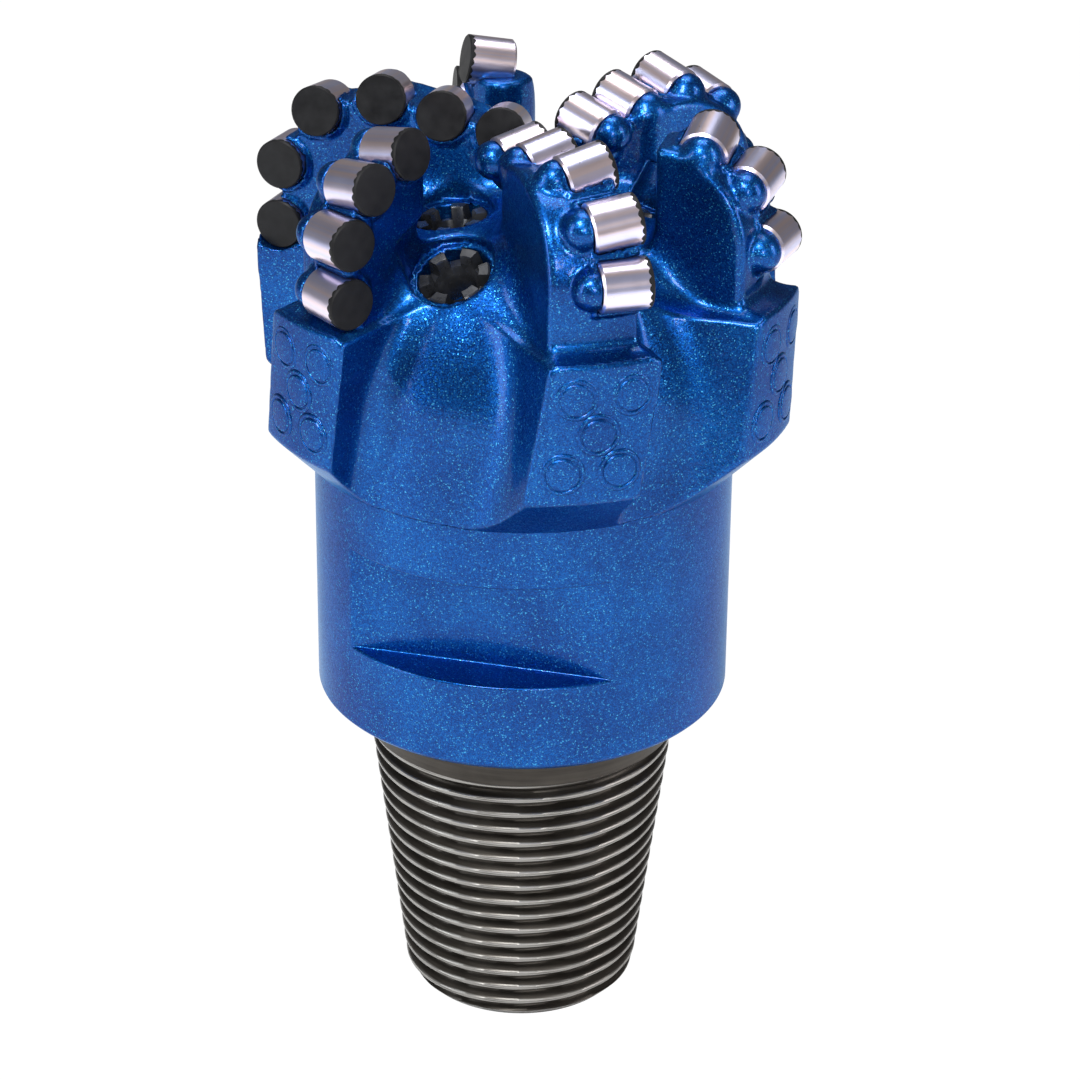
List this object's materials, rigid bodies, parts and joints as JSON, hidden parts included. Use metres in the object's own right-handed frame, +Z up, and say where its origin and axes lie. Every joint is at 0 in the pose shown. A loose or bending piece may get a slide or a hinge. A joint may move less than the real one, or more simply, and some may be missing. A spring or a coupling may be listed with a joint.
{
  "type": "pdc drill bit",
  "caption": "Steel-body drag drill bit with bladed crown, brazed diamond cutters, gauge pads, jet nozzles, breaker slots and a tapered pin.",
  "frame": {"origin": "centre of the pin's end face, on the bit's axis", "axes": "+Z up the bit's axis from the pin to the crown; -Y is the front, a quarter turn behind +X seen from above; the bit cuts turning anticlockwise seen from above the crown"},
  "size_m": [0.1455, 0.148, 0.2682],
  "materials": {
    "steel": "blue metallic paint",
    "button": "painted over",
    "carbide": "ground and polished tungsten carbide",
    "diamond": "lapped polycrystalline diamond",
    "carbide_nozzle": "dark sintered carbide"
  },
  "bodies": {
    "root": {"blade_1_cutter_1": "carbide", "blade_1_cutter_2": "carbide", "blade_1_cutter_3": "carbide", "blade_1_cutter_4": "carbide", "blade_1_cutter_5": "carbide", "blade_1_cutter_6": "carbide", "blade_1_diamond_tables": "diamond", "blade_1_gauge_buttons": "button", "blade_2_cutter_1": "carbide", "blade_2_cutter_2": "carbide", "blade_2_cutter_3": "carbide", "blade_2_cutter_4": "carbide", "blade_2_diamond_tables": "diamond", "blade_2_gauge_buttons": "button", "blade_3_cutter_1": "carbide", "blade_3_cutter_2": "carbide", "blade_3_cutter_3": "carbide", "blade_3_cutter_4": "carbide", "blade_3_cutter_5": "carbide", "blade_3_diamond_tables": "diamond", "blade_3_gauge_buttons": "button", "blade_4_cutter_1": "carbide", "blade_4_cutter_2": "carbide", "blade_4_cutter_3": "carbide", "blade_4_diamond_tables": "diamond", "blade_4_gauge_buttons": "button", "blade_5_cutter_1": "carbide", "blade_5_cutter_2": "carbide", "blade_5_cutter_3": "carbide", "blade_5_cutter_4": "carbide", "blade_5_cutter_5": "carbide", "blade_5_diamond_tables": "diamond", "blade_5_gauge_buttons": "button", "blade_6_cutter_1": "carbide", "blade_6_cutter_2": "carbide", "blade_6_cutter_3": "carbide", "blade_6_diamond_tables": "diamond", "blade_6_gauge_buttons": "button", "crown": "steel", "nozzle_1": "carbide_nozzle", "nozzle_2": "carbide_nozzle", "nozzle_3": "carbide_nozzle", "nozzle_4": "carbide_nozzle", "nozzle_5": "carbide_nozzle", "nozzle_6": "carbide_nozzle", "shank": "steel"}
  },
  "joints": []
}
